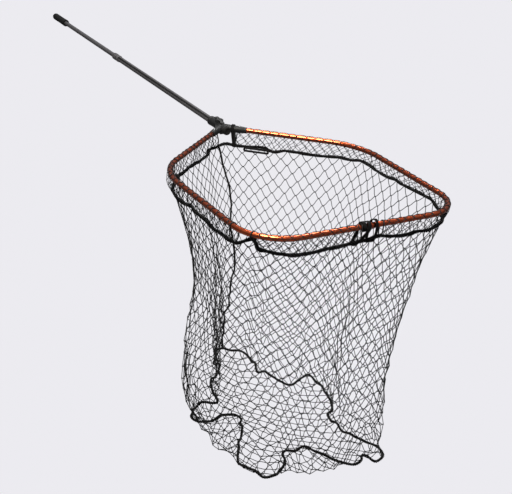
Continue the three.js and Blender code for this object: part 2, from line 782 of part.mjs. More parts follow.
add("sleeve_right", sleeve(socketEnd, frontMiddle + BARE.strapsFrom), MESH_CORD);
add("sleeve_front", sleeve(frontMiddle + BARE.strapsTo, frontMiddle + BARE.cornerFrom), MESH_CORD);
add("sleeve_left", sleeve(frontMiddle + BARE.cornerTo, hoopLength - socketEnd), MESH_CORD);
add("rim_cord", cordLoop(rimLoop, RIM_CORD.radius, AXIS_Z - RIM_CORD.drop), WEBBING);
add("net_wall", netWall(), MESH_CORD);
add("net_floor", netFloor(), MESH_CORD);
add("floor_seam", cordLoop(floorLoop, SEAM.floorRadius, AXIS_Z - BAG.depth), WEBBING);
add("back_seam", backSeam(), WEBBING);
add("yoke_strap", yokeStrap(), WEBBING);
add("front_strap_left", frontStrap(FRONT_STRAPS[0]), WEBBING);
add("front_strap_right", frontStrap(FRONT_STRAPS[1]), WEBBING);
add("label_tag", labelTag(), WEBBING);

export default net;
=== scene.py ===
"""Looks for a landing net with a rounded hoop, a deep mesh bag and a telescopic handle.

The bag's wall follows a designed surface. Its knots are particles and its cords are constraints, and a
short relaxation evens them out. Metres throughout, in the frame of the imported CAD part. +Y runs back
along the handle.
"""

import math

import bpy
import numpy as np
from mathutils import Matrix, Vector


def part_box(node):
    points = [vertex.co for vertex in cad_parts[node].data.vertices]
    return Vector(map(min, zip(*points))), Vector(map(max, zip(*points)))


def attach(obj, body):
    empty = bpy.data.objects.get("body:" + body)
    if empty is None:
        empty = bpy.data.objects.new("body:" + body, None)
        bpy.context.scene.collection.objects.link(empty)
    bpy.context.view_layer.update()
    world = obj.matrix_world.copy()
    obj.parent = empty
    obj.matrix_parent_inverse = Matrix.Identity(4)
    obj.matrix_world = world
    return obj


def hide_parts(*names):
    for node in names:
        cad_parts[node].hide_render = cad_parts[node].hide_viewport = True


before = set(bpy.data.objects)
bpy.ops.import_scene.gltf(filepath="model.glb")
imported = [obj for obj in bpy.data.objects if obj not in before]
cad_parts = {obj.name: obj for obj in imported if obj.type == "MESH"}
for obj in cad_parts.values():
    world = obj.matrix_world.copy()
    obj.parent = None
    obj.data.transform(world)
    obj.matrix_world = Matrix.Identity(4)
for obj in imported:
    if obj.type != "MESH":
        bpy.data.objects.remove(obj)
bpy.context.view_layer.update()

# ---------- sizes
UP = np.array([0, 0, 1])
AXIS_Z = sum(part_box("inner_tube")[i].z for i in (0, 1)) / 2
HOOP_RADIUS = 0.008
HOOP_BACK = (0.350, -0.301, 0.219)  # corner x and y, and its radius
HOOP_FRONT = (0.335, -0.840, 0.131)
RIM_APEX = (0.0, 0.0, 0.060)
ARM_START = 0.034

RIM_CORD_RADIUS = 0.0055
RIM_DROP = 0.052
RIM_INSET = 0.007
RIM_WAVE_IN, RIM_WAVE_DOWN = 0.003, 0.0025

CORD_RADIUS = 0.00115  # of the net's own cord
COLUMNS = 57  # of mesh cells round the rim
ROWS = 37
BAR_SPREAD = 0.018  # how unevenly the mesh is knotted
KNOT_LOBES = 0.16  # how lumpy the knots are
WRINKLE = 0.004
GATHER = 0.045  # the share of the way round over which the wall's folds even out higher up
FOLDS_FROM, FOLDS_TO = 0.30, 0.90  # the wall takes up the seam's folds between these depths
HULL_DEPTH, HULL_POWER = 0.82, 2.2  # where the wall has left the rim's outline, and how early it leaves
TUCK_FROM, TUCK_EARLIER = 0.88, 0.06  # where the wall turns in to the seam, and how much sooner on the left
POUCH_SAG = 0.034
POUCH_FULL = 0.09  # a pouch that stands this far outside the seam sags fully
POUCH_TURN, POUCH_ROUND = 0.12, 0.06  # how far above its end a pouch is lowest, and how round it is there
BELLY, BELLY_AT, BELLY_WIDTH = 0.075, 0.735, 0.07  # the bulge on the left, and where it is round the rim
BELLY_FROM, BELLY_TO = 0.25, 1.02  # in depth
FLOOR_WIDE, FLOOR_TALL = 0.0220, 0.0215  # half a cell of the floor's mesh
FLOOR_SAG, FLOOR_SAG_REACH = 0.030, 0.06
FLOOR_MARGIN = 0.010  # no floor knot lies nearer to the seam

# The floor seam seen from above. It is gathered, so it folds in and out between its corners.
SEAM_OUTLINE = [
    (0.000, -0.105), (0.065, -0.160), (0.065, -0.285), (0.125, -0.385), (0.210, -0.350),
    (0.218, -0.420), (0.200, -0.510), (0.140, -0.620), (0.145, -0.720), (0.188, -0.794),
    (0.152, -0.843), (0.120, -0.813), (0.072, -0.838), (0.021, -0.787), (-0.021, -0.727),
    (-0.069, -0.711), (-0.114, -0.723), (-0.126, -0.764), (-0.190, -0.793), (-0.255, -0.720),
    (-0.225, -0.640), (-0.155, -0.550),
    (-0.150, -0.490), (-0.215, -0.480), (-0.275, -0.470), (-0.265, -0.415), (-0.215, -0.378),
    (-0.165, -0.400), (-0.135, -0.290), (-0.065, -0.215), (-0.050, -0.145),
]
SEAM_RADIUS = 0.0045
BACK_SEAM_RADIUS = 0.0037
SEAM_DROP = 0.803
SEAM_WAVE = 0.010
# Where the seam is drawn inwards, the wall hangs in a pouch outside it. These are the pouch's places
# for the seam's points of the same number.
POUCHES = {
    11: (0.122, -0.840), 12: (0.078, -0.844), 13: (0.032, -0.836), 14: (-0.012, -0.826),
    15: (-0.060, -0.812), 16: (-0.105, -0.803), 17: (-0.140, -0.795), 18: (-0.192, -0.796),
    19: (-0.252, -0.690), 20: (-0.278, -0.640), 21: (-0.287, -0.580), 22: (-0.286, -0.545),
    23: (-0.286, -0.505), 24: (-0.280, -0.468),
}


# ---------- outlines
def smooth_step(value, start, end):
    t = np.clip((value - start) / (end - start), 0, 1)
    return t * t * (3 - 2 * t)


def rounded_loop(corners, step=math.radians(2)):
    """Points round a closed outline whose corners (x, y, radius) are rounded."""
    points = []
    for i, (x, y, radius) in enumerate(corners):
        here = np.array([x, y])
        back = np.array(corners[i - 1][:2]) - here
        ahead = np.array(corners[(i + 1) % len(corners)][:2]) - here
        back /= np.linalg.norm(back)
        ahead /= np.linalg.norm(ahead)
        turn = math.pi - math.acos(back @ ahead)
        bisector = (back + ahead) / np.linalg.norm(back + ahead)
        centre = here + bisector * radius / math.cos(turn / 2)
        arm = here + back * radius * math.tan(turn / 2) - centre
        angles = -np.linspace(0, turn, max(2, round(turn / step)))
        points.append(centre + np.outer(np.cos(angles), arm) + np.outer(np.sin(angles), (-arm[1], arm[0])))
    return np.vstack(points)


def five_corners(apex, back, front):
    left = [(-x, y, radius) for x, y, radius in (front, back)]
    return [apex, back, front, *left]


def catmull_rom(a, b, c, d, steps):
    """Points of the Catmull-Rom span from b up to c, between their neighbours a and d."""
    t = (np.arange(steps) / steps)[:, None]
    return b + 0.5 * ((c - a) * t + (2 * a - 5 * b + 4 * c - d) * t**2 + (3 * b - a - 3 * c + d) * t**3)


def smooth_loop(points, per_span=10):
    """Closed curve through points."""
    p = np.array(points, float)
    spans = zip(*(np.roll(p, shift, 0) for shift in (1, 0, -1, -2)), strict=True)
    return np.vstack([catmull_rom(*span, per_span) for span in spans])


def run_along(points):
    """The length of the line up to each of its points."""
    return np.r_[0, np.cumsum(np.linalg.norm(np.diff(points, axis=0), axis=1))]


def places_on(points, sums, distance):
    return np.stack([np.interp(distance, sums, column) for column in points.T], -1)


def at_height(level, height):
    """Points in space from level ones (x, y). The height can differ from point to point."""
    return np.concatenate([level, np.broadcast_to(height, level.shape[:-1])[..., None]], -1)


class Outline:
    """A closed level outline by share of its length: 0 is the middle of the back, then +X, front, -X."""

    def __init__(self, points):
        closed = np.vstack([points, points[:1]])
        crossings = [k for k in range(len(points)) if closed[k, 0] <= 0 < closed[k + 1, 0]]
        k = max(crossings, key=lambda i: closed[i, 1])
        part = -closed[k, 0] / (closed[k + 1, 0] - closed[k, 0])
        origin = closed[k] + part * (closed[k + 1] - closed[k])
        ring = np.vstack([origin, closed[k + 1 : -1], closed[: k + 1], origin])
        gaps = np.linalg.norm(np.diff(ring, axis=0), axis=1)
        self.points = ring[np.r_[True, gaps > 1e-9]]
        self.sums = run_along(self.points)
        self.length = self.sums[-1]

    def at(self, share):
        return places_on(self.points, self.sums, np.mod(share, 1.0) * self.length)

    def outward(self, share, reach=0.004):
        tangent = self.at(share + reach) - self.at(share - reach)
        tangent /= np.linalg.norm(tangent, axis=-1, keepdims=True)
        return np.stack([-tangent[..., 1], tangent[..., 0]], -1)


hoop_outline = Outline(rounded_loop(five_corners((0, 0, 0.0002), HOOP_BACK, HOOP_FRONT)))
rim_outline = Outline(rounded_loop(five_corners(RIM_APEX, HOOP_BACK, HOOP_FRONT)))
seam_curve = smooth_loop(SEAM_OUTLINE)
seam_outline = Outline(seam_curve)
pouch_curve = smooth_loop([POUCHES.get(k, point) for k, point in enumerate(SEAM_OUTLINE)])


def kinks(share, seed, count, reach):
    """Two offsets for each share: the small uneven bends of a cord that was bound by hand."""
    bends = np.random.default_rng(seed).normal(0, reach, (count, 2))
    run = np.mod(share, 1.0) * count
    first = np.floor(run).astype(int)
    part = smooth_step(run - first, 0, 1)[..., None]
    return bends[first % count] * (1 - part) + bends[(first + 1) % count] * part


def seam_point(share):
    """The floor seam: gathered in plan, nearly level."""
    share = np.asarray(share, float)
    bends = kinks(share, seed=5, count=76, reach=0.0055)
    drop = SEAM_DROP + SEAM_WAVE * np.sin(2 * np.pi * share) + bends[..., 1]
    level = seam_outline.at(share) + seam_outline.outward(share, 0.008) * bends[..., :1]
    return at_height(level, AXIS_Z - drop)


def pouch_point(share):
    """Seen from above, where the wall wants to hang above the seam at this share."""
    level = seam_outline.at(share)
    nearest = ((seam_curve[None] - level[:, None]) ** 2).sum(-1).argmin(1)
    return level + (pouch_curve - seam_curve)[nearest]


def from_front(distance):
    """Share of the hoop outline at a distance from the middle of its front bar, positive to -X."""
    return 0.5 + distance / hoop_outline.length


# Where the cord lies close under the hoop: at the straps and round the bare left front corner.
RIM_RISES = [  # distance from the front's middle, and how much higher the cord lies there
    (-0.96, 0.0), (-0.86, 0.008), (-0.76, 0.016), (-0.50, 0.018), (-0.40, 0.016), (-0.30, 0.002),
    (-0.16, 0.0), (-0.06, 0.006), (0.05, 0.007), (0.16, 0.003), (0.316, 0.001), (0.326, 0.006),
    (0.337, 0.028), (0.345, 0.029), (0.405, 0.001), (0.430, -0.003), (0.470, 0.0),
]


def rim_point(share):
    """The rim cord's centre line: it hangs under the hoop, a little inside it, with slow waves."""
    share = np.asarray(share, float)
    angle = 2 * math.pi * share
    bends = kinks(share, seed=3, count=58, reach=0.0030)
    inset = RIM_INSET + RIM_WAVE_IN * np.sin(5 * angle + 1.0) + bends[..., 0]
    distance, rise = zip(*RIM_RISES, strict=True)
    lift = np.interp((np.mod(share, 1.0) - 0.5) * rim_outline.length, distance, rise)
    drop = RIM_DROP + RIM_WAVE_DOWN * np.sin(9 * angle + 0.7) + bends[..., 1] - lift
    level = rim_outline.at(share) - rim_outline.outward(share) * inset[..., None]
    return at_height(level, AXIS_Z - drop)


# ---------- bag
def edge_colours(edges, count):
    """Groups of edges that share no particle, so that a whole group can be solved at once."""
    used = [0] * count
    colours = np.zeros(len(edges), int)
    for k, (a, b) in enumerate(edges):
        taken = used[a] | used[b]
        colour = 0
        while taken >> colour & 1:
            colour += 1
        colours[k] = colour
        used[a] |= 1 << colour
        used[b] |= 1 << colour
    return [np.nonzero(colours == c)[0] for c in range(colours.max() + 1)]


def inside(point, polygon):
    x, y = point
    a, b = polygon, np.roll(polygon, -1, 0)
    crosses = (a[:, 1] > y) != (b[:, 1] > y)
    at = a[:, 0] + (y - a[:, 1]) * (b[:, 0] - a[:, 0]) / np.where(crosses, b[:, 1] - a[:, 1], 1)
    return np.count_nonzero(crosses & (x < at)) % 2 == 1


def wall_surface(share, depth):
    """The wall's shape: in from the rim, gathered into folds lower down, then under to the floor seam."""
    top, low = rim_point(share), seam_point(share)
    skirt = pouch_point(share)
    hull = np.mean([pouch_point(share + reach) for reach in np.linspace(-GATHER, GATHER, 17)], 0)
    left = np.exp(-(((share - BELLY_AT) / BELLY_WIDTH) ** 2))
    pouch = np.clip(np.linalg.norm(skirt - low[:, :2], axis=1) / POUCH_FULL, 0, 1) * (1 - 0.5 * left)
    inwards = (1 - (1 - np.clip(depth / HULL_DEPTH, 0, 1)) ** HULL_POWER)[:, None]
    folded = smooth_step(depth, FOLDS_FROM, FOLDS_TO)[:, None]
    tucked = smooth_step(depth, TUCK_FROM - TUCK_EARLIER * left, 1)[:, None]
    level = top[:, :2] * (1 - inwards) + (hull + (skirt - hull) * folded) * inwards
    level = level * (1 - tucked) + low[:, :2] * tucked
    belly = BELLY * left * np.sin(np.pi * smooth_step(depth, BELLY_FROM, BELLY_TO))
    level += rim_outline.outward(share) * belly[:, None]
    lowest = 1 - POUCH_TURN * pouch  # the depth at which the wall is lowest

    def above(at):
        """The share of the fall that is left at a depth, with a rounded end."""
        return (np.hypot(1 - at / lowest, POUCH_ROUND * pouch) + 1 - at / lowest) / 2

    sunk = low[:, 2] - POUCH_SAG * pouch
    fall = top[:, 2] - sunk
    rise = low[:, 2] - sunk - fall * above(1.0)
    up = np.clip((depth - lowest) / (1.0001 - lowest), 0, 1) ** 2
    return np.c_[level, sunk + fall * above(depth) + rise * up]


class Bag:
    """Knots and cords of the bag. Rows run from the rim cord down to the floor seam."""

    STEPS = 400
    STEP = 1 / 90
    FALL = 1.5
    DRAG = 0.03
    GUIDE = 0.01  # how strongly each knot is drawn back to its place at each step
    BAR_GIVE = 2e-6
    OPEN_GIVE = 8e-6  # of the mesh's own stiffness, which keeps its cells open

    def __init__(self):
        wall = (ROWS + 1) * COLUMNS
        row = np.repeat(np.arange(ROWS + 1), COLUMNS)
        share = (np.tile(np.arange(COLUMNS), ROWS + 1) + 0.5 * (row % 2)) / COLUMNS
        between = (np.arange(COLUMNS) + 0.5 * (ROWS % 2) + 0.5) / COLUMNS
        self.share = np.r_[share, between]
        self.depth = np.r_[row / ROWS, np.ones(COLUMNS)]
        ring = np.r_[np.arange(ROWS * COLUMNS, wall), np.arange(wall, wall + COLUMNS)]
        self.seam_ring = ring[np.argsort(self.share[ring])]
        self.floor_first = wall + COLUMNS
        self.at = self.wrinkled(wall_surface(self.share, self.depth))
        self.bars, self.struts = [], []  # pairs of knots
        self.wall_cords()
        self.wall_bars = len(self.bars)
        self.floor_cords()

    def wrinkled(self, places):
        """Slow waves in and out, none at the rim or the seam."""
        s, d = 2 * np.pi * self.share, self.depth
        wave = np.sin(7 * s + 9 * d) + np.sin(11 * s - 7 * d + 1) + 0.7 * np.sin(17 * s + 16 * d + 2)
        reach = WRINKLE * wave * np.sin(np.pi * d)
        places[:, :2] += rim_outline.outward(self.share) * reach[:, None]
        return places

    def knot(self, row, column):
        return row * COLUMNS + column % COLUMNS

    def wall_cords(self):
        for row in range(ROWS):
            for column in range(COLUMNS):
                here = self.knot(row, column)
                for side in (0, 1):
                    self.bars.append((here, self.knot(row + 1, column + side - (row + 1) % 2)))
                if row:
                    self.struts.append((here, self.knot(row, column + 1)))
                    if row < ROWS - 1:
                        self.struts.append((here, self.knot(row + 2, column)))

    def floor_cords(self):
        """A diamond grid cut to the seam's outline. Its outer cords end on the seam."""
        outline = seam_outline.points[:-1]
        seam = self.at[self.seam_ring]
        low, high = outline.min(0), outline.max(0)
        rows = np.arange(low[1] - FLOOR_TALL, high[1] + FLOOR_TALL, FLOOR_TALL)
        columns = range(math.floor(low[0] / (2 * FLOOR_WIDE)), math.ceil(high[0] / (2 * FLOOR_WIDE)) + 1)

        def spot(r, c):
            return np.array([(c + 0.5 * (r % 2)) * 2 * FLOOR_WIDE, rows[0] + r * FLOOR_TALL])

        grid, floor = {}, []
        for r in range(len(rows)):
            for c in columns:
                edge = np.linalg.norm(outline - spot(r, c), axis=1).min()
                if inside(spot(r, c), outline) and edge > FLOOR_MARGIN:
                    grid[r, c] = self.floor_first + len(floor)
                    sag = FLOOR_SAG * (1 - math.exp(-edge / FLOOR_SAG_REACH))
                    floor.append((*spot(r, c), AXIS_Z - SEAM_DROP - sag))
        self.at = np.vstack([self.at, floor])
        joined = set()
        for (r, c), here in grid.items():
            for dr in (1, -1):
                for dc in (-1, 0) if r % 2 == 0 else (0, 1):
                    other = grid.get((r + dr, c + dc))
                    if other is None:
                        middle = (spot(r, c) + spot(r + dr, c + dc)) / 2
                        k = int(np.linalg.norm(seam[:, :2] - middle, axis=1).argmin())
                        if (here, k) not in joined:
                            joined.add((here, k))
                            self.bars.append((here, int(self.seam_ring[k])))
                    elif dr == 1:
                        self.bars.append((here, other))
            for other in (grid.get((r, c + 1)), grid.get((r + 2, c))):
                if other is not None:
                    self.struts.append((here, other))

    def settle(self):
        """Position-based dynamics: the rim and the seam are held, and the mesh between them settles."""
        free = np.ones(len(self.at))
        free[:COLUMNS] = 0
        free[self.seam_ring] = 0
        links = np.array(self.bars + self.struts)
        rest = np.linalg.norm(self.at[links[:, 0]] - self.at[links[:, 1]], axis=1)
        rest *= np.random.default_rng(7).normal(1, BAR_SPREAD, len(rest))
        give = np.where(np.arange(len(links)) < len(self.bars), self.BAR_GIVE, self.OPEN_GIVE) / self.STEP**2
        groups = []
        for g in edge_colours(links.tolist(), len(self.at)):
            a, b = links[g].T
            groups.append((a, b, rest[g], free[a], free[b], free[a] + free[b] + give[g]))
        loose = free[:, None]
        start = self.at.copy()
        speed = np.zeros_like(start)
        for _ in range(self.STEPS):
            speed[:, 2] -= self.FALL * self.STEP
            moved = self.at + loose * speed * self.STEP
            for _ in range(2):
                for a, b, rest, free_a, free_b, total in groups:
                    gap = moved[a] - moved[b]
                    length = np.sqrt((gap * gap).sum(1))
                    push = ((length - rest) / (length * np.maximum(total, 1e-9)))[:, None] * gap
                    moved[a] -= free_a[:, None] * push
                    moved[b] += free_b[:, None] * push
            moved += self.GUIDE * (start - moved)
            speed = (moved - self.at) / self.STEP * (1 - self.DRAG)
            self.at = moved


# ---------- mesh building
def unit(vectors):
    return vectors / np.maximum(np.linalg.norm(vectors, axis=-1, keepdims=True), 1e-12)


def grid_quads(first, rows, across, closed=False):
    """Quads over rings of points numbered ring by ring. Closed joins the last ring to the first."""
    r = np.arange(rows if closed else rows - 1)[:, None]
    c = np.arange(across)[None, :]
    here, ahead = first + r * across, first + (r + 1) % rows * across
    beside = (c + 1) % across
    return np.stack([here + c, here + beside, ahead + beside, ahead + c], -1).reshape(-1, 4)


def fan(tip, ring, turned_over=False):
    """Triangles from a tip to each side of a ring of points."""
    ahead = np.roll(ring, -1)
    sides = (ahead, ring) if turned_over else (ring, ahead)
    return np.stack([np.full(len(ring), tip), *sides], -1)


def added(name, data):
    """A new object in the scene."""
    thing = bpy.data.objects.new(name, data)
    bpy.context.scene.collection.objects.link(thing)
    return thing


class Shape:
    """Collects the points and faces of one piece."""

    def __init__(self):
        self.points, self.quads, self.triangles, self.count = [], [], [], 0

    def add(self, points, quads, triangles=None):
        """Adds points, with faces that count from the first of them."""
        self.quads.append(quads + self.count)
        if triangles is not None:
            self.triangles.append(triangles + self.count)
        self.points.append(points.reshape(-1, 3))
        self.count += len(self.points[-1])
        return self

    def tubes(self, lines, radius, sides=6, lead=None):
        """Round tubes along lines (tube, point, xyz), closed at both ends."""
        lines = np.asarray(lines, float)
        if lines.ndim == 2:
            lines = lines[None]
        many, long, _ = lines.shape
        along = unit(np.gradient(lines, axis=1))
        if lead is None:
            chord = unit(lines[:, -1] - lines[:, 0])
            lead = np.cross(chord, np.where(np.abs(chord[:, 2:]) < 0.8, [[0, 0, 1.0]], [[1.0, 0, 0]]))
            lead = np.repeat(lead[:, None], long, 1)
        u = unit(lead - (lead * along).sum(-1, keepdims=True) * along)
        v = np.cross(along, u)
        turn = 2 * np.pi * np.arange(sides) / sides
        ring = u[:, :, None] * np.cos(turn)[:, None] + v[:, :, None] * np.sin(turn)[:, None]
        radius = np.broadcast_to(np.asarray(radius, float), (many, long))
        skin = lines[:, :, None] + ring * radius[:, :, None, None]
        size = long * sides
        first_ring = 2 + np.arange(sides)
        fans = np.vstack([fan(0, first_ring, True), fan(1, first_ring + size - sides)])
        # Each tube's two end points come before its skin.
        points = np.concatenate([lines[:, :1], lines[:, -1:], skin.reshape(many, size, 3)], 1)
        step = (np.arange(many) * (size + 2))[:, None, None]
        quads = grid_quads(2, long, sides)[None] + step
        return self.add(points, quads.reshape(-1, 4), (fans[None] + step).reshape(-1, 3))

    def rings(self, sections, closed=False):
        """A skin over sections (section, point, xyz). It closes on itself or has flat ends."""
        sections = np.asarray(sections, float)
        rows, across, _ = sections.shape
        quads = grid_quads(0, rows, across, closed)
        points = sections.reshape(-1, 3)
        if closed:
            return self.add(points, quads)
        ring, tip = np.arange(across), rows * across
        fans = np.vstack([fan(tip, ring, True), fan(tip + 1, ring + tip - across)])
        points = np.vstack([points, sections[0].mean(0), sections[-1].mean(0)])
        return self.add(points, quads, fans)

    def blobs(self, centres, frames, sizes, around=8, up=5):
        """Knots: lumpy ellipsoids whose long axis is the first axis of each frame."""
        polar = np.pi * (np.arange(up) + 0.5) / up
        turn = 2 * np.pi * np.arange(around) / around
        p, t = np.meshgrid(polar, turn, indexing="ij")
        swell = 1 + KNOT_LOBES * np.cos(3 * t + 4 * p)
        ball = np.stack([np.cos(p), np.sin(p) * np.cos(t) * swell, np.sin(p) * np.sin(t) * swell], -1)
        ball = np.vstack([[[1, 0, 0], [-1, 0, 0]], ball.reshape(-1, 3)]) * sizes
        points = centres[:, None] + ball @ frames
        first_ring = 2 + np.arange(around)
        fans = np.vstack([fan(0, first_ring), fan(1, first_ring + (up - 1) * around, True)])
        step = (np.arange(len(centres)) * len(ball))[:, None, None]
        quads = (grid_quads(2, up, around)[None, :, ::-1] + step).reshape(-1, 4)
        return self.add(points, quads, (fans[None] + step).reshape(-1, 3))

    def piece(self, name, material, slot, stands_for=None, body="head", sharp=None):
        """Makes the object, puts it on its body and hides the CAD node it stands for."""
        mesh = bpy.data.meshes.new(name)
        points = np.vstack(self.points).astype(np.float32)
        quads = np.vstack(self.quads)
        triangles = np.vstack(self.triangles) if self.triangles else np.zeros((0, 3), int)
        mesh.vertices.add(len(points))
        mesh.vertices.foreach_set("co", points.ravel())
        mesh.loops.add(quads.size + triangles.size)
        mesh.loops.foreach_set("vertex_index", np.r_[quads.ravel(), triangles.ravel()].astype(np.int32))
        mesh.polygons.add(len(quads) + len(triangles))
        starts = np.r_[np.arange(len(quads)) * 4, quads.size + np.arange(len(triangles)) * 3]
        mesh.polygons.foreach_set("loop_start", starts.astype(np.int32))
        mesh.polygons.foreach_set("use_smooth", np.ones(len(starts), bool))
        mesh.update(calc_edges=True)
        mesh.validate()
        if sharp is not None:
            mesh.set_sharp_from_angle(angle=math.radians(sharp))
        mesh.materials.append(material)
        piece = added(name, mesh)
        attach(piece, body)
        if stands_for:
            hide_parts(stands_for)


def transported(line, lead):
    """A sideways direction for each point of a line, carried along it without twist."""
    along = unit(np.gradient(line, axis=0))
    u = np.array(lead, float)
    out = np.empty_like(line)
    for k, t in enumerate(along):
        u = u - (u @ t) * t
        u /= np.linalg.norm(u)
        out[k] = u
    return out


def resampled(line, step):
    """The same line with evenly spaced points."""
    sums = run_along(line)
    return places_on(line, sums, np.linspace(0, sums[-1], max(2, round(sums[-1] / step))))


def curve_through(points, per_span=12):
    """Open curve through points in space."""
    p = np.array(points, float)
    p = np.vstack([2 * p[0] - p[1], p, 2 * p[-1] - p[-2]])
    spans = [catmull_rom(*span, per_span) for span in zip(p, p[1:], p[2:], p[3:], strict=False)]
    return np.vstack([*spans, p[-2:-1]])


STRANDS = 3
CORE_SIZE, STRAND_SIZE, STRAND_AWAY = 0.62, 0.46, 0.55  # as shares of the rope's radius
STEPS_PER_TURN = 11


def rope(line, radius, pitch, swell):
    """A laid cord: a core with strands wound round it. Swell makes it thicker in places."""
    shape = Shape()
    line = resampled(line, pitch / STEPS_PER_TURN)
    level = abs(line[1, 2] - line[0, 2]) < 0.9 * pitch / STEPS_PER_TURN
    u = transported(line, (0, 0, 1) if level else (1, 0, 0))
    along = unit(np.gradient(line, axis=0))
    v = np.cross(along, u)
    run = np.arange(len(line)) * pitch / STEPS_PER_TURN
    wave = 1 + swell * (0.5 * np.sin(run / 0.019) + 0.5 * np.sin(run / 0.0071 + 1))
    shape.tubes(line, CORE_SIZE * radius * wave, 8, u[None])
    for k in range(STRANDS):
        turn = 2 * np.pi * (run / pitch + k / STRANDS)
        side = u * np.cos(turn)[:, None] + v * np.sin(turn)[:, None]
        strand = line + (STRAND_AWAY * radius * wave)[:, None] * side
        shape.tubes(strand, STRAND_SIZE * radius * wave, 6, u[None])
    return shape


def band(line, across, width, thickness, closed=False):
    """Webbing along a line. across gives the direction of its width at each point."""
    line = np.asarray(line, float)
    if closed:
        along = unit(np.roll(line, -1, 0) - np.roll(line, 1, 0))
    else:
        along = unit(np.gradient(line, axis=0))
    across = np.broadcast_to(np.asarray(across, float), line.shape)
    across = unit(across - (across * along).sum(-1, keepdims=True) * along)
    face = np.cross(along, across)
    half, thin = width / 2, thickness / 2
    round_off = 0.6 * thin
    side = [(half, thin - round_off), (half - round_off, thin), (0.33 * half, 1.12 * thin)]
    side += [(-a, b) for a, b in side[::-1]]
    outline = [(half, -thin + round_off), *side, (-half, round_off - thin)]
    outline += [(a, -b) for a, b in side[-2:0:-1]]
    sections = np.stack([line + a * across + b * face for a, b in outline], 1)
    return Shape().rings(sections, closed)


# ---------- finishes
def ramp(tree, source, low, high, start=0.3, end=0.7):
    """Turns a value into a colour between low and high."""
    node = tree.nodes.new("ShaderNodeValToRGB")
    for stop, place, colour in zip(node.color_ramp.elements, (start, end), (low, high), strict=True):
        stop.position, stop.color = place, (*colour, 1)
    tree.links.new(source, node.inputs["Fac"])
    return node.outputs["Color"]


def finish(name, colour, roughness, metallic=0.0, specular=0.5, mottle=0.15, grain=900, bump=0.15,
           rub=0.0, **more):
    """A procedural finish: mottled colour and roughness over fine grain. rub lightens worn edges."""
    material = bpy.data.materials.new(name)
    material.use_nodes = True
    tree = material.node_tree
    nodes, links = tree.nodes, tree.links
    shader = nodes["Principled BSDF"]
    shader.inputs["Metallic"].default_value = metallic
    shader.inputs["Specular IOR Level"].default_value = specular
    for key, value in more.items():
        shader.inputs[key.replace("_", " ")].default_value = value
    place_of = nodes.new("ShaderNodeTexCoord").outputs["Object"]

    def noise(scale, detail=3.0):
        node = nodes.new("ShaderNodeTexNoise")
        node.inputs["Scale"].default_value = scale
        node.inputs["Detail"].default_value = detail
        links.new(place_of, node.inputs["Vector"])
        return node.outputs["Fac"]

    dark = tuple(c * (1 - mottle) for c in colour)
    light = tuple(min(1, c * (1 + mottle) + 0.004 * mottle) for c in colour)
    colour_out = ramp(tree, noise(46), dark, light)
    if rub:
        edges = nodes.new("ShaderNodeNewGeometry").outputs["Pointiness"]
        worn = ramp(tree, edges, (0, 0, 0), (1, 1, 1), 0.52, 0.62)
        mix = nodes.new("ShaderNodeMix")
        mix.data_type = "RGBA"
        mix.inputs["B"].default_value = (*[min(1, c * 2.2 + 0.03) for c in colour], 1)
        factor = nodes.new("ShaderNodeMath")
        factor.operation = "MULTIPLY"
        factor.inputs[1].default_value = rub
        links.new(worn, factor.inputs[0])
        links.new(factor.outputs[0], mix.inputs["Factor"])
        links.new(colour_out, mix.inputs["A"])
        colour_out = mix.outputs["Result"]
    links.new(colour_out, shader.inputs["Base Color"])
    rough = ramp(tree, noise(130), (max(0.02, roughness - 0.08),) * 3, (min(1, roughness + 0.08),) * 3)
    links.new(rough, shader.inputs["Roughness"])
    relief = nodes.new("ShaderNodeBump")
    relief.inputs["Strength"].default_value = bump
    relief.inputs["Distance"].default_value = 0.0004
    links.new(noise(grain, 2.0), relief.inputs["Height"])
    links.new(relief.outputs["Normal"], shader.inputs["Normal"])
    return material


anodised = finish("anodised_orange", (0.68, 0.114, 0.028), 0.22, 1.0, mottle=0.08, bump=0.04, grain=400,
                  Coat_Weight=0.7, Coat_Roughness=0.12)
nylon = finish("moulded_nylon", (0.0105, 0.011, 0.0125), 0.50, specular=0.38, bump=0.35, rub=0.35)
collar_grey = finish("collar_plastic", (0.095, 0.093, 0.102), 0.45, rub=0.3)
tube_grey = finish("handle_coating", (0.100, 0.098, 0.108), 0.40, 0.25, mottle=0.10, bump=0.10, rub=0.2)
steel = finish("steel", (0.56, 0.57, 0.59), 0.30, 1.0, mottle=0.06, bump=0.05)
rubber = finish("rubber", (0.008, 0.008, 0.009), 0.72, specular=0.28, bump=0.45, grain=1400)
cord_black = finish("net_cord", (0.016, 0.017, 0.019), 0.62, specular=0.25, mottle=0.25, bump=0.3,
                    grain=2200)
bound_cord = finish("bound_cord", (0.007, 0.007, 0.008), 0.80, specular=0.15, mottle=0.3, bump=0.5,
                    grain=2600)
webbing = finish("webbing", (0.006, 0.006, 0.007), 0.85, specular=0.15, mottle=0.3, bump=0.5, grain=1900)


# ---------- net
bag = Bag()
bag.settle()
knots = bag.at
bars = np.array(bag.bars)
on_bound_cord = np.zeros(len(knots), bool)
on_bound_cord[:COLUMNS] = True
on_bound_cord[bag.seam_ring] = True


